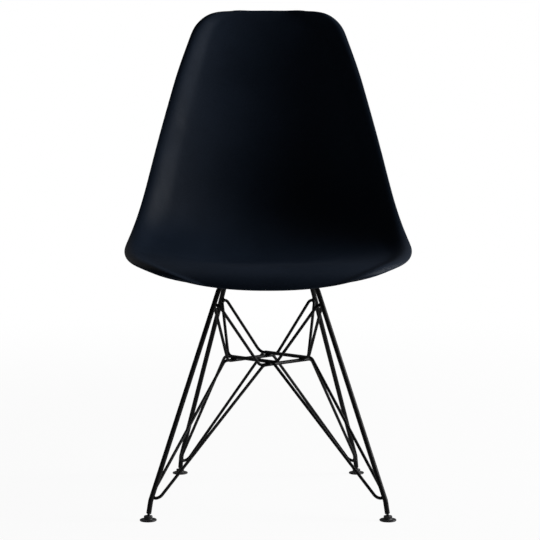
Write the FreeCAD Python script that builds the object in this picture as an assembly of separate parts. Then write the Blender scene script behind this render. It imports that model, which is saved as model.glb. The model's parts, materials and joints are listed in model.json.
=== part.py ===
import FreeCAD, Part
import math
import os

from FreeCAD import Vector

# Side chair: a moulded plastic shell on a base of bent steel rod.
# Millimetres. Left is -X and right is +X, as seen from the front; +Y towards the back, +Z up.
# The origin is on the floor, under the middle of the chair's outer box.

os.makedirs("parts", exist_ok=True)

# Moulded shell: wall, rim and mounting bosses
shellWall = 4.6            # wall in the middle of seat and back
rimWall = 3.8              # wall at the free edge
rimRound = 1.5             # how far the rounded edge stands out past the wall
rimSamples = 60            # points along each of the rim's four sides
rimRollWidth = 13.0        # width of the edge that rolls outwards
rimRollLift = 5.0          # how proud the crest of the roll stands
dishPower = 2.3            # how late across the width the sides turn up
rimThinning = 8            # how late across the width the wall thins
bossDiameter = 20.0
bossDraft = 0.8            # how much the radius grows from the face up to the seat
bossRibReach = 24.0        # from the boss's middle to the rib's thin end
bossRibThickness = 2.6
bossRibSetback = 2.0       # the rib's lower edge starts this far above the boss's face

# Shell sections from the front lip to the top edge: middle line (y, z), then the
# outermost edge (x, y, z) on one side; z is counted from the bosses' lower faces
shellSections = [
    ((-261.8, -2.0), (127.0, -250.0, 9.8)),   # lip
    ((-254.0, 13.0), (160.8, -237.5, 17.1)),  # waterfall
    ((-232.0, 22.5), (186.8, -211.0, 24.0)),
    ((-180.0, 26.0), (209.8, -172.0, 29.7)),  # crest under the thighs
    ((-105.0, 22.0), (225.8, -115.0, 35.0)),
    ((-30.0, 16.5), (234.0, -45.0, 41.5)),    # widest
    ((40.0, 16.0), (233.3, 18.0, 52.0)),      # lowest
    ((100.0, 30.0), (225.0, 70.0, 77.0)),
    ((146.0, 62.0), (212.3, 107.0, 120.0)),   # seat turns into back
    ((175.0, 114.0), (197.0, 134.0, 182.0)),
    ((193.0, 179.0), (183.2, 155.0, 237.0)),
    ((212.0, 261.0), (167.6, 178.0, 296.0)),
    ((229.0, 331.0), (155.2, 195.0, 339.0)),
    ((243.5, 390.0), (138.8, 214.0, 387.0)),
    ((251.0, 422.0), (123.5, 230.5, 418.0)),  # top corners begin
    ((254.0, 433.0), (102.0, 238.5, 433.4)),
    ((256.0, 437.8), (85.0, 242.0, 437.5)),
    ((258.0, 440.6), (66.0, 245.0, 439.2)),   # top edge
]
stationsAlong = 41
stationsAcross = 33
samplePacking = 0.35       # packs the samples towards the rims
sampleStep = 0.002         # step for measuring the slope across the width
wallSearchHeight = 60.0    # how far above the bosses the seat's wall is looked for

# Fasteners between shell and base
mountFaceZ = 369.0         # lower face of the bosses, above the floor
mountHalfSpanX = 46.0
mountInset = 13.0          # screw line inboard of the leg rods
insertDiameter = 9.0
insertLength = 9.0
insertFlange = 12.0
insertFlangeThickness = 1.0
insertBore = 6.1
insertGroove = 0.8
insertGroovePlaces = (3.6, 6.3)    # above the boss's face
insertFit = 0.05
screwDiameter = 6.0
screwLength = 15.0
screwHeadDiameter = 11.4
screwHeadHeight = 3.3
screwHeadSide = 0.8        # upright part of the head's side
screwHeadFlat = 5.8        # flat ring around the socket
screwSocketAcross = 4.0
screwSocketDepth = 2.0
screwHole = 6.8
screwPlay = 0.2
washerDiameter = 14.0
washerThickness = 1.2
padDiameter = 24.0
padThickness = 5.0
padBevel = 0.8
plateThickness = 2.5
plateWidth = 26.0
plateTail = 7.0            # plate beyond the leg rod's middle

# Base: leg rods
rodDiameter = 8.0
footHalfSpanFront = 187.0
footHalfSpanRear = 154.5
footFrontY = -217.4
footRearY = 147.0
kneeFrontInwards = 3.7     # from the ball's middle to the bend, in X, Y and Z
kneeFrontBackwards = 4.3
kneeFrontUp = 24.7
kneeRearInwards = 2.6
kneeRearForwards = 6.2
kneeRearUp = 26.7
shoulderFrontX = 76.9
shoulderFrontY = -104.6
shoulderRearX = 69.0
shoulderRearY = 32.8
kneeRadius = 22.0
shoulderRadius = 14.0
tieGap = 1.3               # between the washers and the ties

# Base: brace wires
wireDiameter = 5.0
weldGap = 0.04
ringCentreY = -14.9
ringHalfX = 56.3
ringHalfY = 52.5
ringZ = 224.3
upperBendReachFront = 18.8     # from the crossing to the corner of the bend, along the edge
upperBendReachSide = 18.8
lowerBendReachFront = 10.4
lowerBendReachSide = 15.9
ringBendRadius = 13.0
lowerTipZFront = 36.4
lowerTipZRear = 26.0
upperTipZFront = 328.8
upperTipZRear = 319.6
lowerTipRadius = 10.0
upperTipRadius = 7.0
tipPasses = 12             # rounds of correction that put a hairpin's tip in place

# Swivel glides
glideDiameter = 26.6
glideRimHeight = 2.8
glideHollow = 1.5          # hollow rounding between rim and boss
glideCrown = 1.0           # rounding of the boss's top edge
glideBossDiameter = 13.6
glideHeight = 8.2
ballDiameter = 8.0
ballFit = 0.1
ballCentreZ = 6.0
neckDiameter = 4.0
rodEndToBall = 5.4         # from the ball's middle to the cut end of the rod
shankDiameter = 4.4
shankLength = 12.0
shankFit = 0.05
studShoulder = 6.4
studShoulderHeight = 0.8
mouthDepth = 0.5
mouthFlare = 0.8

# Values that follow from the ones above
tieHalfSpanX = mountHalfSpanX + washerDiameter / 2 + tieGap + rodDiameter / 2
plateTopZ = mountFaceZ - padThickness
plateBottomZ = plateTopZ - plateThickness
rodTopZ = plateBottomZ - rodDiameter / 2
ballFront = Vector(footHalfSpanFront, footFrontY, ballCentreZ)
ballRear = Vector(footHalfSpanRear, footRearY, ballCentreZ)
rowsOfLegs = {
    "front": dict(
        ball=ballFront,
        knee=ballFront + Vector(-kneeFrontInwards, kneeFrontBackwards, kneeFrontUp),
        shoulder=Vector(shoulderFrontX, shoulderFrontY, rodTopZ),
        mountY=shoulderFrontY + mountInset,
        inboard=1,
        lowerTipZ=lowerTipZFront,
        upperTipZ=upperTipZFront,
    ),
    "rear": dict(
        ball=ballRear,
        knee=ballRear + Vector(-kneeRearInwards, -kneeRearForwards, kneeRearUp),
        shoulder=Vector(shoulderRearX, shoulderRearY, rodTopZ),
        mountY=shoulderRearY - mountInset,
        inboard=-1,
        lowerTipZ=lowerTipZRear,
        upperTipZ=upperTipZRear,
    ),
}
sides = {"left": -1, "right": 1}


def save(shape, node):
    shape.exportStep("parts/" + node + ".step")
    print(node, "valid", shape.isValid(), "solids", len(shape.Solids), "volume", round(shape.Volume, 1))


def fuseAll(shapes):
    result = shapes[0]
    if len(shapes) > 1:
        result = result.multiFuse(shapes[1:])
    return result.removeSplitter()


def mirrored(point, side):
    return Vector(side * point.x, point.y, point.z)


# Bent rod: straight cylinders joined by pieces of a torus

def cornerArc(before, corner, after, radius):
    """Start, end, centre and axis of the arc that rounds one corner."""
    towardsBefore = (before - corner).normalize()
    towardsAfter = (after - corner).normalize()
    halfAngle = towardsBefore.getAngle(towardsAfter) / 2
    tangentLength = radius / math.tan(halfAngle)
    start = corner + towardsBefore * tangentLength
    end = corner + towardsAfter * tangentLength
    bisector = (towardsBefore + towardsAfter).normalize()
    centre = corner + bisector * (radius / math.sin(halfAngle))
    axis = (start - centre).cross(end - centre).normalize()
    return start, end, centre, axis


def bentRod(points, radii, diameter, closed=False):
    """A rod of one diameter through the given corners."""
    count = len(points)
    corners = range(count) if closed else range(1, count - 1)
    arcs = {}
    for index in corners:
        before = points[index - 1]
        after = points[(index + 1) % count]
        arcs[index] = cornerArc(before, points[index], after, radii[index])
    pieces = []
    for index in range(count if closed else count - 1):
        following = (index + 1) % count
        start = arcs[index][1] if index in arcs else points[index]
        end = arcs[following][0] if following in arcs else points[following]
        run = end - start
        pieces.append(Part.makeCylinder(diameter / 2, run.Length, start, run))
    for start, end, centre, axis in arcs.values():
        tangent = axis.cross(start - centre).normalize()
        section = Part.Face(Part.Wire(Part.makeCircle(diameter / 2, start, tangent)))
        turn = math.degrees((start - centre).getAngle(end - centre))
        pieces.append(section.revolve(centre, axis, turn))
    return fuseAll(pieces)


def hairpinCorner(tip, endA, endB, radius):
    """The corner whose rounding by the given radius just reaches the tip."""
    corner = tip
    for _ in range(tipPasses):
        towardsA = (endA - corner).normalize()
        towardsB = (endB - corner).normalize()
        bisector = (towardsA + towardsB).normalize()
        halfAngle = towardsA.getAngle(towardsB) / 2
        corner = tip - bisector * (radius / math.sin(halfAngle) - radius)
    return corner


# Moulded shell

def guideCurve(points, parameters):
    curve = Part.BSplineCurve()
    curve.interpolate(Points=points, Parameters=parameters)
    return curve


def shellGuides():
    """Middle line and rim line on one shared run of parameters."""
    middles = [Vector(0, y, mountFaceZ + z) for (y, z), _ in shellSections]
    rims = [Vector(x, y, mountFaceZ + z) for _, (x, y, z) in shellSections]
    parameters = [0.0]
    for index in range(1, len(middles)):
        step = (middles[index] - middles[index - 1]).Length + (rims[index] - rims[index - 1]).Length
        parameters.append(parameters[-1] + math.sqrt(step))
    last = parameters[-1]
    parameters = [value / last for value in parameters]
    return guideCurve(middles, parameters), guideCurve(rims, parameters)


def hump(part):
    """Nought at both ends and one at two thirds of the way."""
    return 27 / 4 * part ** 2 * (1 - part)


def sectionPoint(middle, rim, along, across):
    """A point of the sitting surface; across runs from -1 to 1."""
    centre = middle.value(along)
    edge = rim.value(along)
    forward = middle.tangent(along)[0]
    proud = Vector(0, -forward.z, forward.y)
    reach = abs(across)
    rise = reach ** dishPower
    rollStart = 1 - 3 * rimRollWidth / edge.x
    lift = 0.0
    if reach > rollStart:
        lipHalfWidth = shellSections[0][1][0]
        narrowing = min(1.0, edge.x / lipHalfWidth) ** 2
        lift = rimRollLift * narrowing * hump((reach - rollStart) / (1 - rollStart))
    point = centre + Vector(edge.x * across, (edge.y - centre.y) * rise, (edge.z - centre.z) * rise)
    return point + proud * lift


def shellSurfaces():
    """Sitting surface and underside as two smooth faces."""
    middle, rim = shellGuides()
    sitting = []
    underside = []
    for row in range(stationsAlong):
        along = row / (stationsAlong - 1)
        forward = middle.tangent(along)[0]
        sittingRow = []
        undersideRow = []
        for column in range(stationsAcross):
            even = 2 * column / (stationsAcross - 1) - 1
            across = even * (1 + samplePacking - samplePacking * even ** 2)
            point = sectionPoint(middle, rim, along, across)
            inner = sectionPoint(middle, rim, along, max(across - sampleStep, -1))
            outer = sectionPoint(middle, rim, along, min(across + sampleStep, 1))
            sideways = (outer - inner).normalize()
            normal = sideways.cross(forward).normalize()
            wall = shellWall + (rimWall - shellWall) * across ** rimThinning
            sittingRow.append(point)
            undersideRow.append(point - normal * wall)
        sitting.append(sittingRow)
        underside.append(undersideRow)
    surfaces = []
    for grid in (sitting, underside):
        surface = Part.BSplineSurface()
        surface.interpolate(grid)
        surfaces.append(surface)
    return surfaces


def roundedRim(sitting, underside):
    """The free edge: one strip through the upper edge, a line set outwards, and the lower edge."""
    u0, u1, v0, v1 = sitting.bounds()
    uppers = [sitting.uIso(u0), sitting.vIso(v1), sitting.uIso(u1), sitting.vIso(v0)]
    lowers = [underside.uIso(u0), underside.vIso(v1), underside.uIso(u1), underside.vIso(v0)]
    parameters = [index / rimSamples for index in range(rimSamples + 1)]
    walls = []
    for side in range(4):
        order = parameters if side < 2 else parameters[::-1]
        walls.append([(uppers[side].value(at), lowers[side].value(at)) for at in order])
    middles = []
    for side in range(4):
        points = []
        for index in range(rimSamples + 1):
            upper, lower = walls[side][index]
            before = walls[side][index - 1][0] if index > 0 else walls[side - 1][-2][0]
            after = walls[side][index + 1][0] if index < rimSamples else walls[(side + 1) % 4][1][0]
            outwards = (lower - upper).cross(after - before).normalize()
            points.append((upper + lower) * 0.5 + outwards * rimRound)
        if side >= 2:
            points.reverse()
        middles.append(guideCurve(points, parameters))
    wires = []
    for curves in (uppers, middles, lowers):
        wires.append(Part.Wire([curve.toShape() for curve in curves]))
    return Part.makeLoft(wires, False, False).Faces


def shellSkin():
    """The plain wall with its rounded rim, as a closed solid."""
    sitting, underside = shellSurfaces()
    faces = [sitting.toShape(), underside.toShape()] + roundedRim(sitting, underside)
    skin = Part.Compound(faces)
    skin.sewShape()
    solid = Part.Solid(skin.Shells[0])
    if solid.Volume < 0:
        solid.reverse()
    return solid


def wallMiddle(skin, x, y):
    """Height of the middle of the seat's wall above one point of the floor."""
    probe = Part.makeLine(Vector(x, y, mountFaceZ), Vector(x, y, mountFaceZ + wallSearchHeight))
    heights = [vertex.Z for vertex in probe.common(skin).Vertexes]
    heights.sort()
    return (heights[0] + heights[1]) / 2


def mountPlaces():
    """Name of each screw line, with its place and the way it is set in from the leg rod."""
    places = {}
    for rowName, row in rowsOfLegs.items():
        for sideName, side in sides.items():
            places[rowName + "_" + sideName] = (side * mountHalfSpanX, row["mountY"], row["inboard"])
    return places


def mountingBoss(skin, x, y):
    """One boss with its four tapering ribs, grown up into the wall."""
    top = wallMiddle(skin, x, y)
    radius = bossDiameter / 2
    pieces = [Part.makeCone(radius, radius + bossDraft, top - mountFaceZ, Vector(x, y, mountFaceZ))]
    ribFoot = mountFaceZ + bossRibSetback
    for dx, dy in ((1, 0), (0, 1), (-1, 0), (0, -1)):
        def at(reach, z):
            return Vector(x + dx * reach, y + dy * reach, z)
        farTop = wallMiddle(skin, x + dx * bossRibReach, y + dy * bossRibReach)
        outline = [at(0, ribFoot), at(radius - bossRibThickness / 2, ribFoot),
                   at(bossRibReach, farTop - shellWall / 2), at(bossRibReach, farTop),
                   at(0, top), at(0, ribFoot)]
        sideways = Vector(-dy, dx, 0) * bossRibThickness
        web = Part.Face(Part.makePolygon(outline))
        web.translate(sideways * -0.5)
        pieces.append(web.extrude(sideways))
    return pieces


def seatShell():
    skin = shellSkin()
    pieces = [skin]
    holes = []
    for x, y, _ in mountPlaces().values():
        pieces += mountingBoss(skin, x, y)
        holes.append(Part.makeCylinder(insertDiameter / 2 + insertFit, insertLength + insertFit * 2,
                                       Vector(x, y, mountFaceZ)))
        holes.append(Part.makeCylinder(insertFlange / 2 + insertFit, insertFlangeThickness,
                                       Vector(x, y, mountFaceZ)))
    shell = pieces[0].multiFuse(pieces[1:])
    return shell.cut(Part.Compound(holes))


# Fasteners and plates between shell and base

def threadedInsert(x, y):
    """Brass insert with a flange and two grooves around its knurled body."""
    outer = insertDiameter / 2
    body = Part.makeCylinder(outer, insertLength, Vector(x, y, mountFaceZ))
    flange = Part.makeCylinder(insertFlange / 2, insertFlangeThickness, Vector(x, y, mountFaceZ))
    insert = body.fuse(flange)
    for place in insertGroovePlaces:
        z = mountFaceZ + place
        ring = Part.makeCylinder(insertFlange / 2, insertGroove, Vector(x, y, z))
        core = Part.makeCylinder(outer - insertGroove / 2, insertGroove, Vector(x, y, z))
        insert = insert.cut(ring.cut(core))
    return insert.cut(Part.makeCylinder(insertBore / 2, insertLength, Vector(x, y, mountFaceZ)))


def shockPad(x, y):
    """Rubber washer, thinner towards its edge, between boss and plate."""
    outer = padDiameter / 2
    inner = screwHole / 2
    profile = [(inner, 0), (outer - padBevel, 0), (outer, padBevel), (outer, padThickness - padBevel),
               (outer - padBevel, padThickness), (inner, padThickness), (inner, 0)]
    points = [Vector(r, 0, z) for r, z in profile]
    pad = Part.Face(Part.makePolygon(points)).revolve(Vector(0, 0, 0), Vector(0, 0, 1), 360)
    pad.translate(Vector(x, y, plateTopZ))
    return pad


def mountPlate(x, y, inboard):
    """Steel plate with a round inner end, lying on the leg rod and the tie."""
    radius = plateWidth / 2
    length = mountInset + plateTail
    start = y - length if inboard > 0 else y
    body = Part.makeBox(plateWidth, length, plateThickness, Vector(x - radius, start, plateBottomZ))
    plate = body.fuse(Part.makeCylinder(radius, plateThickness, Vector(x, y, plateBottomZ)))
    plate = plate.removeSplitter()
    return plate.cut(Part.makeCylinder(screwHole / 2, plateThickness, Vector(x, y, plateBottomZ)))


def washer(x, y):
    z = plateBottomZ - washerThickness
    ring = Part.makeCylinder(washerDiameter / 2, washerThickness, Vector(x, y, z))
    return ring.cut(Part.makeCylinder(screwDiameter / 2 + screwPlay, washerThickness, Vector(x, y, z)))


def screw(x, y):
    """Button-head screw, put in from below."""
    seat = plateBottomZ - washerThickness
    radius = screwHeadDiameter / 2
    flat = screwHeadFlat / 2
    diagonal = math.sqrt(0.5)
    edge = Vector(radius, 0, -screwHeadSide)
    crown = Vector(flat, 0, -screwHeadHeight)
    bulgeDrop = screwHeadSide + (screwHeadHeight - screwHeadSide) * diagonal
    bulge = Vector(flat + (radius - flat) * diagonal, 0, -bulgeDrop)
    dome = Part.Arc(edge, bulge, crown).toShape()
    middle = Vector(0, 0, -screwHeadHeight)
    outline = Part.makePolygon([crown, middle, Vector(0, 0, 0), Vector(radius, 0, 0), edge])
    head = Part.Face(Part.Wire([dome] + outline.Edges)).revolve(Vector(0, 0, 0), Vector(0, 0, 1), 360)
    shank = Part.makeCylinder(screwDiameter / 2, screwLength)
    reach = screwSocketAcross / math.sqrt(3)
    corners = []
    for turn in range(7):
        angle = math.radians(60 * turn)
        corners.append(Vector(reach * math.cos(angle), reach * math.sin(angle), -screwHeadHeight))
    socket = Part.Face(Part.makePolygon(corners)).extrude(Vector(0, 0, screwSocketDepth))
    bolt = head.fuse(shank).cut(socket)
    bolt.translate(Vector(x, y, seat))
    return bolt


# Base of bent rod

def legFrame(row):
    """Two legs and the bar under the seat, bent from one rod, with a bored end at each foot."""
    ball = row["ball"]
    knee = row["knee"]
    shoulder = row["shoulder"]
    up = (knee - ball).normalize()
    end = ball + up * rodEndToBall
    right = [end, knee, shoulder]
    points = [mirrored(point, -1) for point in right] + [mirrored(point, 1) for point in reversed(right)]
    radii = [0, kneeRadius, shoulderRadius, shoulderRadius, kneeRadius, 0]
    frame = bentRod(points, radii, rodDiameter)
    for side in sides.values():
        bore = Part.makeCylinder(shankDiameter / 2 + shankFit, shankLength + shankFit,
                                 mirrored(end, side), mirrored(up, side))
        frame = frame.cut(bore)
    return frame


def tieRod(side, frames):
    """Straight bar between the two leg frames, its ends shaped to their rods."""
    start = Vector(side * tieHalfSpanX, shoulderFrontY, rodTopZ)
    length = shoulderRearY - shoulderFrontY
    bar = Part.makeCylinder(rodDiameter / 2, length, start, Vector(0, 1, 0))
    for frame in frames:
        bar = bar.cut(frame)
    return max(bar.Solids, key=lambda solid: solid.Volume)


def legPoint(row, z):
    """Where a leg's middle line passes one height, on the right side, and its direction."""
    if z < row["knee"].z:
        low = row["ball"]
        high = row["knee"]
    else:
        low = row["knee"]
        high = row["shoulder"]
    share = (z - low.z) / (high.z - low.z)
    return low + (high - low) * share, (high - low).normalize()


def weldedTip(row, side, z):
    """Middle of the brace wire where its point lies against the inner side of a leg."""
    onLeg, along = legPoint(row, z)
    onLeg = mirrored(onLeg, side)
    along = mirrored(along, side)
    inwards = Vector(-onLeg.x, ringCentreY - onLeg.y, 0).normalize()
    across = Vector(-inwards.y, inwards.x, 0)
    outOfBoth = along.cross(across).normalize()
    if outOfBoth.dot(inwards) < 0:
        outOfBoth = outOfBoth * -1
    return onLeg + outOfBoth * ((rodDiameter + wireDiameter) / 2 + weldGap)


def braceWire(frontSide, level, layer):
    """One closed brace: front leg, front corner, side corner, opposite rear leg and back again."""
    upper = level == "upper"
    spread = (wireDiameter + weldGap) / 2 * (-1 if upper else 1)
    reachFront = upperBendReachFront if upper else lowerBendReachFront
    reachSide = upperBendReachSide if upper else lowerBendReachSide
    tipRadius = upperTipRadius if upper else lowerTipRadius
    diagonal = math.hypot(ringHalfX, ringHalfY)
    halfX = ringHalfX + spread * diagonal / ringHalfY
    halfY = ringHalfY + spread * diagonal / ringHalfX
    alongX = ringHalfX / diagonal
    alongY = ringHalfY / diagonal
    z = ringZ + layer * (wireDiameter + weldGap)
    near = Vector(frontSide * alongX * reachFront, ringCentreY - halfY - alongY * reachFront, z)
    far = Vector(-near.x, 2 * ringCentreY - near.y, z)
    opposite = Vector(-frontSide * (halfX + alongX * reachSide), ringCentreY + alongY * reachSide, z)
    same = Vector(-opposite.x, 2 * ringCentreY - opposite.y, z)
    tipKey = level + "TipZ"
    frontTip = weldedTip(rowsOfLegs["front"], frontSide, rowsOfLegs["front"][tipKey])
    rearTip = weldedTip(rowsOfLegs["rear"], -frontSide, rowsOfLegs["rear"][tipKey])
    points = [hairpinCorner(frontTip, same, near, tipRadius), near, opposite,
              hairpinCorner(rearTip, opposite, far, tipRadius), far, same]
    radii = [tipRadius, ringBendRadius, ringBendRadius, tipRadius, ringBendRadius, ringBendRadius]
    return bentRod(points, radii, wireDiameter, closed=True)


# Swivel glides

def ballStud(row, side):
    """Ball, neck and shoulder in one, with a shank pressed into the end of the rod."""
    ball = ballDiameter / 2
    neck = neckDiameter / 2
    shoulder = studShoulder / 2
    shank = shankDiameter / 2
    neckStart = math.sqrt(ball ** 2 - neck ** 2)
    shoulderStart = rodEndToBall - studShoulderHeight
    shankEnd = rodEndToBall + shankLength
    arc = Part.Arc(Vector(0, 0, -ball), Vector(ball, 0, 0), Vector(neck, 0, neckStart)).toShape()
    corners = [(neck, neckStart), (neck, shoulderStart), (shoulder, shoulderStart), (shoulder, rodEndToBall),
               (shank, rodEndToBall), (shank, shankEnd), (0, shankEnd), (0, -ball)]
    outline = Part.makePolygon([Vector(r, 0, z) for r, z in corners])
    stud = Part.Face(Part.Wire([arc] + outline.Edges)).revolve(Vector(0, 0, 0), Vector(0, 0, 1), 360)
    place = mirrored(row["ball"], side)
    up = mirrored(row["knee"], side) - place
    stud.Placement = FreeCAD.Placement(place, FreeCAD.Rotation(Vector(0, 0, 1), up))
    return stud


def quarterArc(centreR, centreZ, radius, towardsR, towardsZ):
    """Quarter circle from its point beside the centre to its point above or below it."""
    diagonal = radius * math.sqrt(0.5)
    start = Vector(centreR + towardsR * radius, 0, centreZ)
    middle = Vector(centreR + towardsR * diagonal, 0, centreZ + towardsZ * diagonal)
    end = Vector(centreR, 0, centreZ + towardsZ * radius)
    return Part.Arc(start, middle, end).toShape()


def glide(row, side):
    """Round plastic foot with a snap socket for the ball."""
    boss = glideBossDiameter / 2
    edge = glideRimHeight / 2
    rimCentre = glideDiameter / 2 - edge
    shoulderZ = glideRimHeight + glideHollow
    outline = Part.Wire([
        Part.makeLine(Vector(0, 0, 0), Vector(rimCentre, 0, 0)),
        quarterArc(rimCentre, edge, edge, 1, -1),
        quarterArc(rimCentre, edge, edge, 1, 1),
        Part.makeLine(Vector(rimCentre, 0, glideRimHeight), Vector(boss + glideHollow, 0, glideRimHeight)),
        quarterArc(boss + glideHollow, shoulderZ, glideHollow, -1, -1),
        Part.makeLine(Vector(boss, 0, shoulderZ), Vector(boss, 0, glideHeight - glideCrown)),
        quarterArc(boss - glideCrown, glideHeight - glideCrown, glideCrown, 1, 1),
        Part.makeLine(Vector(boss - glideCrown, 0, glideHeight), Vector(0, 0, glideHeight)),
        Part.makeLine(Vector(0, 0, glideHeight), Vector(0, 0, 0)),
    ])
    body = Part.Face(outline).revolve(Vector(0, 0, 0), Vector(0, 0, 1), 360)
    socketRadius = ballDiameter / 2 + ballFit
    socket = Part.makeSphere(socketRadius, Vector(0, 0, ballCentreZ))
    lipZ = glideHeight - mouthDepth
    lipRadius = math.sqrt(socketRadius ** 2 - (lipZ - ballCentreZ) ** 2)
    mouth = Part.makeCone(lipRadius, lipRadius + mouthFlare, mouthDepth, Vector(0, 0, lipZ))
    body = body.cut(socket.fuse(mouth))
    ball = mirrored(row["ball"], side)
    body.translate(Vector(ball.x, ball.y, 0))
    return body


# Every piece, one file each

save(seatShell(), "seat_shell")

inserts = []
screws = []
washers = []
for place, (x, y, inboard) in mountPlaces().items():
    inserts.append(threadedInsert(x, y))
    screws.append(screw(x, y))
    washers.append(washer(x, y))
    save(shockPad(x, y), "shock_pad_" + place)
    save(mountPlate(x, y, inboard), "mount_plate_" + place)
save(Part.Compound(inserts), "threaded_inserts")
save(Part.Compound(screws), "seat_screws")
save(Part.Compound(washers), "screw_washers")

frames = []
for rowName, row in rowsOfLegs.items():
    frame = legFrame(row)
    frames.append(frame)
    save(frame, "leg_frame_" + rowName)
for sideName, side in sides.items():
    save(tieRod(side, frames), "seat_tie_" + sideName)
for frontSideName, frontSide in sides.items():
    layer = 0 if frontSideName == "left" else 1
    for level in ("upper", "lower"):
        save(braceWire(frontSide, level, layer), level + "_brace_front_" + frontSideName)
for rowName, row in rowsOfLegs.items():
    for sideName, side in sides.items():
        save(ballStud(row, side), "ball_stud_" + rowName + "_" + sideName)
        save(glide(row, side), "glide_" + rowName + "_" + sideName)
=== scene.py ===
import json
import math

import bmesh
import bpy
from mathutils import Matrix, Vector, noise


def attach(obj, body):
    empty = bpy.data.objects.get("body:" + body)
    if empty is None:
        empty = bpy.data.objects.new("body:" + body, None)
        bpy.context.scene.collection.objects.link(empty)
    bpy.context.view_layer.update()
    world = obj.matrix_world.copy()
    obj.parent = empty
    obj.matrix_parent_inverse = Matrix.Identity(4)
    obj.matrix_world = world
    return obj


# Side chair: moulded plastic shell on a base of bent rod. Metres, +Z up, +Y towards the back.

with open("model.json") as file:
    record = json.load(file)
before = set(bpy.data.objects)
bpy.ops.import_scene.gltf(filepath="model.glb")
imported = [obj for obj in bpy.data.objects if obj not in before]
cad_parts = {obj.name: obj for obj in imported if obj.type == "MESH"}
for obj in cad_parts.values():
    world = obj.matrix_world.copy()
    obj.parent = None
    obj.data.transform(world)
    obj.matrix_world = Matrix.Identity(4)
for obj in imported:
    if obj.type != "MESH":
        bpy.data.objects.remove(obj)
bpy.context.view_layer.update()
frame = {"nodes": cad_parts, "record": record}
nodes = frame["nodes"]
print("stage: frame loaded,", len(nodes), "pieces")


# Small helpers

millimetre = 0.001


def linearFrom(red, green, blue):  # a colour as it looks on a screen, 0 to 255, made linear
    steps = []
    for value in (red, green, blue):
        share = value / 255
        steps.append(share / 12.92 if share <= 0.04045 else ((share + 0.055) / 1.055) ** 2.4)
    return (*steps, 1.0)


def addNode(tree, kind, inputs, **settings):  # each input is a value or another node's socket
    node = tree.nodes.new("ShaderNode" + kind)
    for name, value in settings.items():
        setattr(node, name, value)
    for socket, value in inputs.items():
        if isinstance(value, bpy.types.NodeSocket):
            tree.links.new(value, node.inputs[socket])
        else:
            node.inputs[socket].default_value = value
    return node


def calculate(tree, operation, *values):
    return addNode(tree, "Math", dict(enumerate(values)), operation=operation).outputs[0]


def mapRange(tree, value, fromMin, fromMax, toMin=0.0, toMax=1.0, interpolation="LINEAR"):
    inputs = {"Value": value, "From Min": fromMin, "From Max": fromMax, "To Min": toMin, "To Max": toMax}
    return addNode(tree, "MapRange", inputs, interpolation_type=interpolation).outputs["Result"]


class Finish:  # one material, built node by node
    def __init__(self, name, metallic=0.0, specular=0.5, anisotropy=0.0):
        self.material = bpy.data.materials.new(name)
        self.material.use_nodes = True
        self.tree = self.material.node_tree
        self.shader = self.tree.nodes["Principled BSDF"]
        self.shader.inputs["Metallic"].default_value = metallic
        self.shader.inputs["Specular IOR Level"].default_value = specular
        self.shader.inputs["Anisotropic"].default_value = anisotropy
        self.place = addNode(self.tree, "TexCoord", {}).outputs["Object"]

    def stretched(self, scale, turn=(0, 0, 0)):
        inputs = {"Vector": self.place, "Scale": scale, "Rotation": turn}
        return addNode(self.tree, "Mapping", inputs).outputs["Vector"]

    def noise(self, scale, detail, roughness=0.55, distortion=0.0, at=None):
        inputs = {"Vector": at or self.place, "Scale": scale, "Detail": detail,
                  "Roughness": roughness, "Distortion": distortion}
        return addNode(self.tree, "TexNoise", inputs).outputs["Fac"]

    def cells(self, size):
        inputs = {"Vector": self.place, "Scale": 1 / size}
        return addNode(self.tree, "TexVoronoi", inputs, feature="SMOOTH_F1").outputs["Distance"]

    def fade(self, value, low, high, toLow=0.0, toHigh=1.0):
        return mapRange(self.tree, value, low, high, toLow, toHigh)

    def blend(self, share, first, second):
        return addNode(self.tree, "Mix", {0: share, 6: first, 7: second}, data_type="RGBA").outputs[2]

    def sum(self, first, second):
        return calculate(self.tree, "ADD", first, second)

    def product(self, first, second):
        return calculate(self.tree, "MULTIPLY", first, second)

    def bump(self, height, distance, strength, after=None):
        inputs = {"Height": height, "Distance": distance, "Strength": strength}
        if after is not None:
            inputs["Normal"] = after
        return addNode(self.tree, "Bump", inputs).outputs["Normal"]

    def finish(self, colour, roughness, normal):
        for socket, source in (("Base Color", colour), ("Roughness", roughness), ("Normal", normal)):
            self.tree.links.new(source, self.shader.inputs[socket])
        return self.material


# Materials. A noise is given as scale, detail, roughness and distortion, and a fade as the
# levels of the noise where it starts and ends.

shellPlastic = {
    "deep": linearFrom(13, 20, 30),
    "pale": linearFrom(24, 32, 44),
    "scuff": linearFrom(56, 61, 70),
    "specular": 0.05,
    "roughness": (0.50, 0.64),
    "cloud": (5.5, 3.0),
    "cloudFade": (0.35, 0.68),
    "cloudShare": 0.65,
    "speckleDetail": 2.0,
    "speckleFade": (0.35, 0.65),
    "speckleShare": 0.35,
    "scratch": (34, 6.0, 0.7, 1.4),
    "scratchStretch": (1, 5, 1),
    "scratchTurn": (0.3, 0.2, 0.5),
    "scratchFade": (0.66, 0.74),
    "scratchRoughness": 0.05,
    "patch": (3.2, 2.0),
    "patchFade": (0.50, 0.72),
    "scuffShare": 0.16,
    "smear": (9.0, 5.0, 0.6, 0.8),
    "smearFade": (0.30, 0.72),
    "grainSize": 0.0011,
    "grainDepth": 0.00004,
    "grainStrength": 0.55,
    "flow": (11.0, 2.0),
    "flowDepth": 0.0012,
    "flowStrength": 0.25,
}

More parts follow.
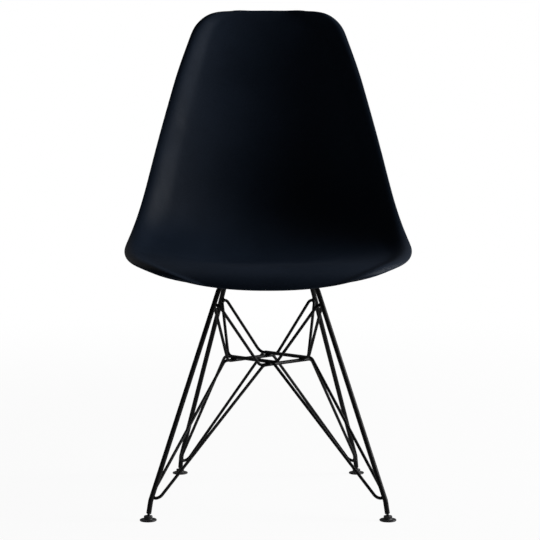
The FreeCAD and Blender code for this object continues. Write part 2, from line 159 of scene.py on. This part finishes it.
blackRod = {
    "deep": linearFrom(10, 10, 11),
    "pale": linearFrom(19, 19, 20),
    "worn": linearFrom(86, 84, 80),
    "specular": 0.12,
    "roughness": (0.40, 0.56),
    "cloud": (22.0, 4.0),
    "cloudFade": (0.32, 0.70),
    "chip": (120.0, 5.0, 0.7),
    "chipFade": (0.70, 0.73),
    "chipDepth": 0.00005,
    "chipStrength": 0.5,
    "zone": (9.0, 2.0),
    "zoneFade": (0.50, 0.62),
    "smear": (48.0, 4.0),
    "smearFade": (0.30, 0.70),
    "peelSize": 0.0024,
    "peelDetail": (2.0, 0.45),
    "peelDepth": 0.00001,
    "peelStrength": 0.6,
}

metalGrain = {  # shared by the metals
    "anisotropy": 0.3,
    "cloud": (140.0, 4.0),
    "cloudFade": (0.30, 0.70),
    "stain": (420.0, 5.0, 0.65),
    "stainFade": (0.58, 0.72, 0.0, 0.6),
    "smear": (300.0, 4.0),
    "smearFade": (0.30, 0.70),
    "line": (260.0, 3.0, 0.6, 0.0),
    "lineStretch": (0.2, 0.2, 14),
    "lineDepth": 0.00001,
    "lineStrength": 0.5,
}

zincSteel = {
    "deep": linearFrom(150, 152, 156),
    "pale": linearFrom(198, 199, 200),
    "stain": linearFrom(112, 104, 90),
    "roughness": (0.26, 0.48),
}

blackSteel = {
    "deep": linearFrom(20, 20, 22),
    "pale": linearFrom(42, 42, 45),
    "stain": linearFrom(64, 58, 50),
    "roughness": (0.30, 0.50),
}

brass = {
    "deep": linearFrom(150, 116, 62),
    "pale": linearFrom(205, 168, 96),
    "stain": linearFrom(88, 70, 44),
    "roughness": (0.28, 0.50),
}

dustyGrain = {  # shared by the pads and the glides
    "cloud": (90.0, 4.0),
    "cloudFade": (0.30, 0.70),
    "dust": (260.0, 6.0, 0.7),
    "smear": (150.0, 4.0),
    "smearFade": (0.30, 0.70),
    "grainStrength": 0.5,
}

padRubber = {
    "deep": linearFrom(18, 18, 18),
    "pale": linearFrom(34, 34, 34),
    "dust": linearFrom(96, 93, 88),
    "specular": 0.35,
    "roughness": (0.62, 0.86),
    "grainSize": 0.0008,
    "grainDepth": 0.00005,
    "dustFade": (0.66, 0.82, 0.0, 0.45),
}

glidePlastic = {
    "deep": linearFrom(18, 18, 19),
    "pale": linearFrom(32, 32, 34),
    "dust": linearFrom(104, 100, 92),
    "specular": 0.4,
    "roughness": (0.42, 0.66),
    "grainSize": 0.0007,
    "grainDepth": 0.00003,
    "dustFade": (0.62, 0.78, 0.0, 0.45),
}


def makeShellPlastic(look):  # spark-textured mould finish with faint scuffs
    finish = Finish("shellPlastic", specular=look["specular"])
    cloud = finish.fade(finish.noise(*look["cloud"]), *look["cloudFade"])
    speckleScale = 1 / look["grainSize"] / 2
    speckle = finish.fade(finish.noise(speckleScale, look["speckleDetail"]), *look["speckleFade"])
    tone = finish.sum(finish.product(cloud, look["cloudShare"]), finish.product(speckle, look["speckleShare"]))
    colour = finish.blend(tone, look["deep"], look["pale"])
    stretched = finish.stretched(look["scratchStretch"], look["scratchTurn"])
    scratches = finish.fade(finish.noise(*look["scratch"], stretched), *look["scratchFade"])
    patches = finish.fade(finish.noise(*look["patch"]), *look["patchFade"])
    scuff = finish.product(finish.product(scratches, patches), look["scuffShare"])
    colour = finish.blend(scuff, colour, look["scuff"])
    smear = finish.fade(finish.noise(*look["smear"]), *look["smearFade"], *look["roughness"])
    roughness = finish.sum(smear, finish.product(scratches, look["scratchRoughness"]))
    normal = finish.bump(finish.cells(look["grainSize"]), look["grainDepth"], look["grainStrength"])
    normal = finish.bump(finish.noise(*look["flow"]), look["flowDepth"], look["flowStrength"], normal)
    return finish.finish(colour, roughness, normal)


def makeBlackRod(look):  # powder coat with orange peel, worn through in a few small spots
    finish = Finish("blackRod", specular=look["specular"])
    cloud = finish.fade(finish.noise(*look["cloud"]), *look["cloudFade"])
    colour = finish.blend(cloud, look["deep"], look["pale"])
    chips = finish.fade(finish.noise(*look["chip"]), *look["chipFade"])
    zones = finish.fade(finish.noise(*look["zone"]), *look["zoneFade"])
    chipped = finish.product(chips, zones)
    colour = finish.blend(chipped, colour, look["worn"])
    roughness = finish.fade(finish.noise(*look["smear"]), *look["smearFade"], *look["roughness"])
    peel = finish.noise(1 / look["peelSize"], *look["peelDetail"])
    normal = finish.bump(peel, look["peelDepth"], look["peelStrength"])
    normal = finish.bump(chipped, look["chipDepth"], look["chipStrength"], normal)
    return finish.finish(colour, roughness, normal)


def makeMetal(name, look, grain):  # plated or turned metal with fine lines and a little staining
    finish = Finish(name, metallic=1.0, anisotropy=grain["anisotropy"])
    cloud = finish.fade(finish.noise(*grain["cloud"]), *grain["cloudFade"])
    colour = finish.blend(cloud, look["deep"], look["pale"])
    stains = finish.fade(finish.noise(*grain["stain"]), *grain["stainFade"])
    colour = finish.blend(stains, colour, look["stain"])
    roughness = finish.fade(finish.noise(*grain["smear"]), *grain["smearFade"], *look["roughness"])
    lines = finish.noise(*grain["line"], finish.stretched(grain["lineStretch"]))
    normal = finish.bump(lines, grain["lineDepth"], grain["lineStrength"])
    return finish.finish(colour, roughness, normal)


def makeDusty(name, look, grain):  # dull black rubber or nylon with dust in its grain
    finish = Finish(name, specular=look["specular"])
    cloud = finish.fade(finish.noise(*grain["cloud"]), *grain["cloudFade"])
    colour = finish.blend(cloud, look["deep"], look["pale"])
    dust = finish.fade(finish.noise(*grain["dust"]), *look["dustFade"])
    colour = finish.blend(dust, colour, look["dust"])
    roughness = finish.fade(finish.noise(*grain["smear"]), *grain["smearFade"], *look["roughness"])
    normal = finish.bump(finish.cells(look["grainSize"]), look["grainDepth"], grain["grainStrength"])
    return finish.finish(colour, roughness, normal)


materials = {
    "shell_plastic": makeShellPlastic(shellPlastic),
    "black_rod": makeBlackRod(blackRod),
    "zinc_steel": makeMetal("zincSteel", zincSteel, metalGrain),
    "black_steel": makeMetal("blackSteel", blackSteel, metalGrain),
    "brass": makeMetal("brass", brass, metalGrain),
    "pad_rubber": makeDusty("padRubber", padRubber, dustyGrain),
    "glide_plastic": makeDusty("glidePlastic", glidePlastic, dustyGrain),
}
slotOfNode = {row["node"]: row["material_slot"] for row in frame["record"]["subparts"]}
for name, piece in nodes.items():
    piece.data.materials.clear()
    piece.data.materials.append(materials[slotOfNode[name]])
print("stage: materials on", len(nodes), "pieces")


def pieceFrom(mesh, name, material):  # a new object out of a finished bmesh
    bmesh.ops.recalc_face_normals(mesh, faces=mesh.faces)
    data = bpy.data.meshes.new(name)
    mesh.to_mesh(data)
    mesh.free()
    data.materials.append(material)
    piece = bpy.data.objects.new(name, data)
    bpy.context.scene.collection.objects.link(piece)
    return piece


# Mould marks: what the mould leaves under the shell and on its back

mouldMarks = {  # millimetres; a form's rings are radius and height above the shell's skin
    "gate": (0.0, -36.0),
    "gateRings": ((0.0, 0.9), (1.5, 0.85), (1.7, 0.30), (4.4, 0.26), (4.7, -0.15), (0.0, -0.15)),
    "pinRings": ((0.0, 0.06), (3.2, 0.06), (3.4, 0.16), (3.8, 0.16), (4.0, -0.15), (0.0, -0.15)),
    "pinsBelow": ((75, -205), (150, -150), (110, -60), (150, 20), (70, 75)),  # one side, then mirrored
    "pinsBehind": ((60, 520), (120, 590), (50, 680), (70, 760)),
    "fromBelow": 300,  # where the search for the skin starts
    "fromBehind": 400,
    "around": 36,
}


def addMark(mesh, start, towards, rings, look):  # a small turned form standing on the shell's skin
    hit, place, normal, _ = nodes["seat_shell"].ray_cast(start * millimetre, towards)
    if not hit:
        return
    side = normal.orthogonal().normalized()
    up = normal.cross(side)
    loops = []
    for radius, height in rings:
        centre = place + normal * height * millimetre
        if radius == 0:
            loops.append([mesh.verts.new(centre)])
            continue
        loop = []
        for step in range(look["around"]):
            angle = 2 * math.pi * step / look["around"]
            outwards = side * math.cos(angle) + up * math.sin(angle)
            loop.append(mesh.verts.new(centre + outwards * radius * millimetre))
        loops.append(loop)
    for inner, outer in zip(loops, loops[1:]):
        for step in range(look["around"]):
            after = (step + 1) % look["around"]
            if len(inner) == 1:
                mesh.faces.new((inner[0], outer[step], outer[after]))
            elif len(outer) == 1:
                mesh.faces.new((inner[step], outer[0], inner[after]))
            else:
                mesh.faces.new((inner[step], outer[step], outer[after], inner[after]))


def makeMouldMarks(look):  # one gate mark, and the marks of the ejector pins
    mesh = bmesh.new()
    upwards = Vector((0, 0, 1))
    forwards = Vector((0, -1, 0))
    addMark(mesh, Vector((*look["gate"], look["fromBelow"])), upwards, look["gateRings"], look)
    for side in (-1, 1):
        for x, y in look["pinsBelow"]:
            addMark(mesh, Vector((side * x, y, look["fromBelow"])), upwards, look["pinRings"], look)
        for x, z in look["pinsBehind"]:
            addMark(mesh, Vector((side * x, look["fromBehind"], z)), forwards, look["pinRings"], look)
    marks = pieceFrom(mesh, "mould_marks", materials["shell_plastic"])
    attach(marks, "chair")


makeMouldMarks(mouldMarks)
print("stage: mould marks")


# Weld beads: small rippled beads where rods and wires meet, painted with the rods

baseRods = {  # sizes and middle lines of the base's rods and wires, right-hand side, in millimetres
    "rod": 8.0,
    "wire": 5.0,
    "weldGap": 0.04,
    "ball": {"front": (187.0, -217.4, 6.0), "rear": (154.5, 147.0, 6.0)},
    "knee": {"front": (183.3, -213.1, 30.7), "rear": (151.9, 140.8, 32.7)},
    "shoulder": {"front": (76.9, -104.6, 357.5), "rear": (69.0, 32.8, 357.5)},
    "tipZ": {"upper": {"front": 328.8, "rear": 319.6}, "lower": {"front": 36.4, "rear": 26.0}},
    "ringCentreY": -14.9,
    "ringHalf": (56.3, 52.5),
    "ringZ": 224.3,
    "tieX": 58.3,
    "plateX": 46.0,
    "plateUnder": 361.5,
}

beadLook = {  # millimetres
    "tip": (5.2, 1.15),         # length and radius of each kind of bead
    "cross": (4.2, 0.95),
    "run": (11.0, 0.85),
    "plate": (15.0, 1.25),
    "tie": (11.0, 1.25),
    "joint": (5.2, 1.25),
    "tipLift": 0.2,             # how far the tips' beads stand off the leg's surface
    "tipSpread": 0.38,          # from the wire's middle, as a share of its thickness
    "runSpread": 0.27,
    "plateInset": 1.0,          # from the plate's middle, inwards
    "plateDrop": 0.55,          # below the plate's underside
    "barSpread": 0.30,          # from the bar's middle, as a share of its thickness
    "tieFromBar": 9.5,          # from the bar's middle line, along the tie
    "jointFromBar": 0.55,       # the same for the joint, as a share of the bar's thickness
    "jointDrop": 0.36,
    "endPower": 3.2,            # how late the bead thins towards its ends
    "ripplePitch": 1.1,
    "rippleDepth": 0.16,
    "ringsPerRipple": 5,
    "fewestRings": 10,
    "unevenness": 0.14,
    "unevenScale": 0.9,
    "around": 12,
}


def addBead(mesh, middle, along, kind, look):  # one bead, thin at its ends, with ripples along it
    length, radius = look[kind]
    along = along.normalized()
    side = along.orthogonal().normalized()
    up = along.cross(side)
    ringCount = max(look["fewestRings"], int(length / look["ripplePitch"] * look["ringsPerRipple"]))
    rings = []
    for index in range(ringCount + 1):
        share = index / ringCount
        place = (share - 0.5) * length
        taper = math.sqrt(max(0.0, 1 - abs(2 * share - 1) ** look["endPower"]))
        ripple = 1 - look["rippleDepth"] * abs(math.sin(math.pi * place / look["ripplePitch"]))
        ring = []
        for step in range(look["around"]):
            angle = 2 * math.pi * step / look["around"]
            point = middle + along * place
            bulge = 1 + look["unevenness"] * noise.noise(point * look["unevenScale"] + Vector((angle, 0, 0)))
            reach = radius * taper * ripple * bulge
            point = point + (side * math.cos(angle) + up * math.sin(angle)) * reach
            ring.append(point * millimetre)
        rings.append(ring)
    first = mesh.verts.new(rings[0][0])
    last = mesh.verts.new(rings[-1][0])
    loops = [[mesh.verts.new(point) for point in ring] for ring in rings[1:-1]]
    for step in range(look["around"]):
        after = (step + 1) % look["around"]
        mesh.faces.new((first, loops[0][after], loops[0][step]))
        mesh.faces.new((last, loops[-1][step], loops[-1][after]))
        for lower, upper in zip(loops, loops[1:]):
            mesh.faces.new((lower[step], lower[after], upper[after], upper[step]))


def legLine(rods, row, z):  # where a right-hand leg's middle line passes one height, and its direction
    ball, knee, shoulder = (Vector(rods[name][row]) for name in ("ball", "knee", "shoulder"))
    low, high = (ball, knee) if z < knee.z else (knee, shoulder)
    share = (z - low.z) / (high.z - low.z)
    return low.lerp(high, share), (high - low).normalized()


def addTipBeads(mesh, rods, look):  # a bead above and below each brace tip, along the wire
    places = [(level, row, side) for level in ("upper", "lower") for row in ("front", "rear") for side in (-1, 1)]
    for level, row, side in places:
        middle, along = legLine(rods, row, rods["tipZ"][level][row])
        middle.x *= side
        along.x *= side
        inwards = Vector((-middle.x, rods["ringCentreY"] - middle.y, 0)).normalized()
        across = Vector((-inwards.y, inwards.x, 0))
        out = along.cross(across).normalized()
        if out.dot(inwards) < 0:
            out = -out
        contact = middle + out * (rods["rod"] / 2 + look["tipLift"])
        for way in (-1, 1):
            addBead(mesh, contact + along * (way * rods["wire"] * look["tipSpread"]), across, "tip", look)


def addRingBeads(mesh, rods, look):  # at the four crossings and along the four paired runs
    halfX, halfY = rods["ringHalf"]
    centre = Vector((0, rods["ringCentreY"], rods["ringZ"]))
    gap = rods["wire"] + rods["weldGap"]
    corners = [Vector((0, -halfY, 0)), Vector((halfX, 0, 0)), Vector((0, halfY, 0)), Vector((-halfX, 0, 0))]
    for index, corner in enumerate(corners):
        nextCorner = corners[(index + 1) % 4]
        run = (nextCorner - corner).normalized()
        layer = 1 if index % 2 else 0
        middle = centre + (corner + nextCorner) / 2 + Vector((0, 0, layer * gap))
        for way in (-1, 1):
            place = middle + Vector((0, 0, way * rods["wire"] * look["runSpread"]))
            addBead(mesh, place, run, "run", look)
        before = (corner - corners[index - 1]).normalized()
        spread = gap / 2 / abs(run.cross(before).z)
        for first in (-1, 1):
            for second in (-1, 1):
                place = centre + corner + (run * first + before * second) * spread + Vector((0, 0, gap / 2))
                addBead(mesh, place, run + before * first * second, "cross", look)


def addSeatBeads(mesh, rods, look):  # under the mounting plates, along the bars and the ties
    alongBar = Vector((1, 0, 0))
    alongTie = Vector((0, 1, 0))
    rodZ = rods["shoulder"]["front"][2]
    beadZ = rods["plateUnder"] - look["plateDrop"]
    barSide = rods["rod"] * look["barSpread"]
    for row, outwards in (("front", -1), ("rear", 1)):
        barY = rods["shoulder"][row][1]
        tieY = barY - outwards * look["tieFromBar"]
        jointY = barY - outwards * rods["rod"] * look["jointFromBar"]
        for side in (-1, 1):
            for way in (-1, 1):
                underPlate = Vector((side * (rods["plateX"] - look["plateInset"]), barY + way * barSide, beadZ))
                addBead(mesh, underPlate, alongBar, "plate", look)
            besideTie = Vector((side * (rods["tieX"] - barSide), tieY, beadZ))
            addBead(mesh, besideTie, alongTie, "tie", look)
            joint = Vector((side * rods["tieX"], jointY, rodZ - rods["rod"] * look["jointDrop"]))
            addBead(mesh, joint, alongBar, "joint", look)


def makeBeads(rods, look):
    mesh = bmesh.new()
    addTipBeads(mesh, rods, look)
    addRingBeads(mesh, rods, look)
    addSeatBeads(mesh, rods, look)
    beads = pieceFrom(mesh, "weld_beads", materials["black_rod"])
    for face in beads.data.polygons:
        face.use_smooth = True
    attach(beads, "chair")


makeBeads(baseRods, beadLook)
print("stage: weld beads")


# Stage, light and camera

stageLook = {
    "floorColour": (0.60, 0.60, 0.60, 1.0),
    "floorRadius": 12.0,
    "floorSides": 96,
    "nearGlow": 0.94,           # share of plain white that the camera sees near the chair, the rest is lit floor
    "fadeFrom": 0.7,            # distances from the chair between which the floor turns plain white
    "fadeTo": 2.6,
    "floorGloss": 0.25,         # part of that white that the chair's gloss sees
    "roomLight": 0.04,          # the world as light on the chair
    "roomGloss": 0.15,          # the world as seen in gloss and through clear parts
}

lamps = {
    # name: place, aim, width, height, power
    "keyRight": ((2.90, -0.10, 1.60), (0.0, 0.1, 0.50), 1.0, 1.3, 135.0),
    "edgeRight": ((2.3, 1.6, 1.5), (0.1, 0.1, 0.55), 0.5, 1.6, 24.0),
    "softTop": ((-0.3, -0.4, 3.6), (0.0, 0.0, 0.4), 2.4, 2.4, 1.0),
    "backLeft": ((-2.2, 2.7, 2.0), (0.0, 0.1, 0.50), 1.2, 1.6, 10.0),
}

cameraLook = {
    "place": (0.003, -3.0993, 0.6677),
    "pitch": 0.095,
    "focalPixels": 1879.0,
    "imagePixels": 540.0,
    "sensor": 36.0,
}


def pickOf(tree, kinds):  # 1 where the ray is one of the kinds, otherwise 0
    path = addNode(tree, "LightPath", {})
    picked = path.outputs[kinds[0]]
    for kind in kinds[1:]:
        picked = calculate(tree, "MAXIMUM", picked, path.outputs[kind])
    return picked


def makeFloor(look):  # a round pale floor that keeps the shadow and turns plain white further out
    mesh = bpy.data.meshes.new("studioFloor")
    disc = bmesh.new()
    bmesh.ops.create_circle(disc, cap_ends=True, segments=look["floorSides"], radius=look["floorRadius"])
    disc.to_mesh(mesh)
    disc.free()
    floor = bpy.data.objects.new("studioFloor", mesh)
    bpy.context.scene.collection.objects.link(floor)
    material = bpy.data.materials.new("studioFloor")
    material.use_nodes = True
    tree = material.node_tree
    tree.nodes.clear()
    place = addNode(tree, "TexCoord", {}).outputs["Object"]
    distance = addNode(tree, "VectorMath", {0: place}, operation="LENGTH").outputs["Value"]
    white = mapRange(tree, distance, look["fadeFrom"], look["fadeTo"], look["nearGlow"], 1.0, "SMOOTHSTEP")
    direct = pickOf(tree, ("Is Camera Ray", "Is Transmission Ray"))
    seen = calculate(tree, "MULTIPLY_ADD", pickOf(tree, ("Is Glossy Ray",)), look["floorGloss"], direct)
    share = calculate(tree, "MULTIPLY", white, seen)
    lit = addNode(tree, "BsdfDiffuse", {"Color": look["floorColour"]}).outputs[0]
    glow = addNode(tree, "Emission", {}).outputs[0]
    surface = addNode(tree, "MixShader", {0: share, 1: lit, 2: glow}).outputs[0]
    addNode(tree, "OutputMaterial", {"Surface": surface})
    mesh.materials.append(material)


def makeLamps():
    for name, (place, aim, width, height, power) in lamps.items():
        light = bpy.data.lights.new(name, "AREA")
        light.shape = "RECTANGLE"
        light.size = width
        light.size_y = height
        light.energy = power
        lamp = bpy.data.objects.new(name, light)
        lamp.location = place
        lamp.rotation_euler = (Vector(aim) - Vector(place)).to_track_quat("-Z", "Y").to_euler()
        bpy.context.scene.collection.objects.link(lamp)


def makeWorld(look):  # white to the camera, dimmer in gloss, low as light on the chair
    world = bpy.data.worlds.new("studio")
    world.use_nodes = True
    tree = world.node_tree
    inGloss = pickOf(tree, ("Is Glossy Ray", "Is Transmission Ray"))
    level = mapRange(tree, inGloss, 0.0, 1.0, look["roomLight"], look["roomGloss"])
    level = mapRange(tree, pickOf(tree, ("Is Camera Ray",)), 0.0, 1.0, level, 1.0)
    background = tree.nodes["Background"]
    tree.links.new(level, background.inputs["Strength"])
    background.inputs["Color"].default_value = (1, 1, 1, 1)
    bpy.context.scene.world = world


def makeCamera(look):
    lens = bpy.data.cameras.new("photoCamera")
    lens.sensor_width = look["sensor"]
    lens.lens = look["focalPixels"] / look["imagePixels"] * look["sensor"]
    camera = bpy.data.objects.new("photoCamera", lens)
    camera.location = look["place"]
    camera.rotation_euler = (math.pi / 2 - look["pitch"], 0, 0)
    bpy.context.scene.collection.objects.link(camera)
    bpy.context.scene.camera = camera


makeFloor(stageLook)
makeLamps()
makeWorld(stageLook)
makeCamera(cameraLook)
bpy.context.scene.view_settings.view_transform = "Standard"
print("stage: floor, lamps, world and camera")


# Bring the scene up to date

bpy.context.view_layer.update()
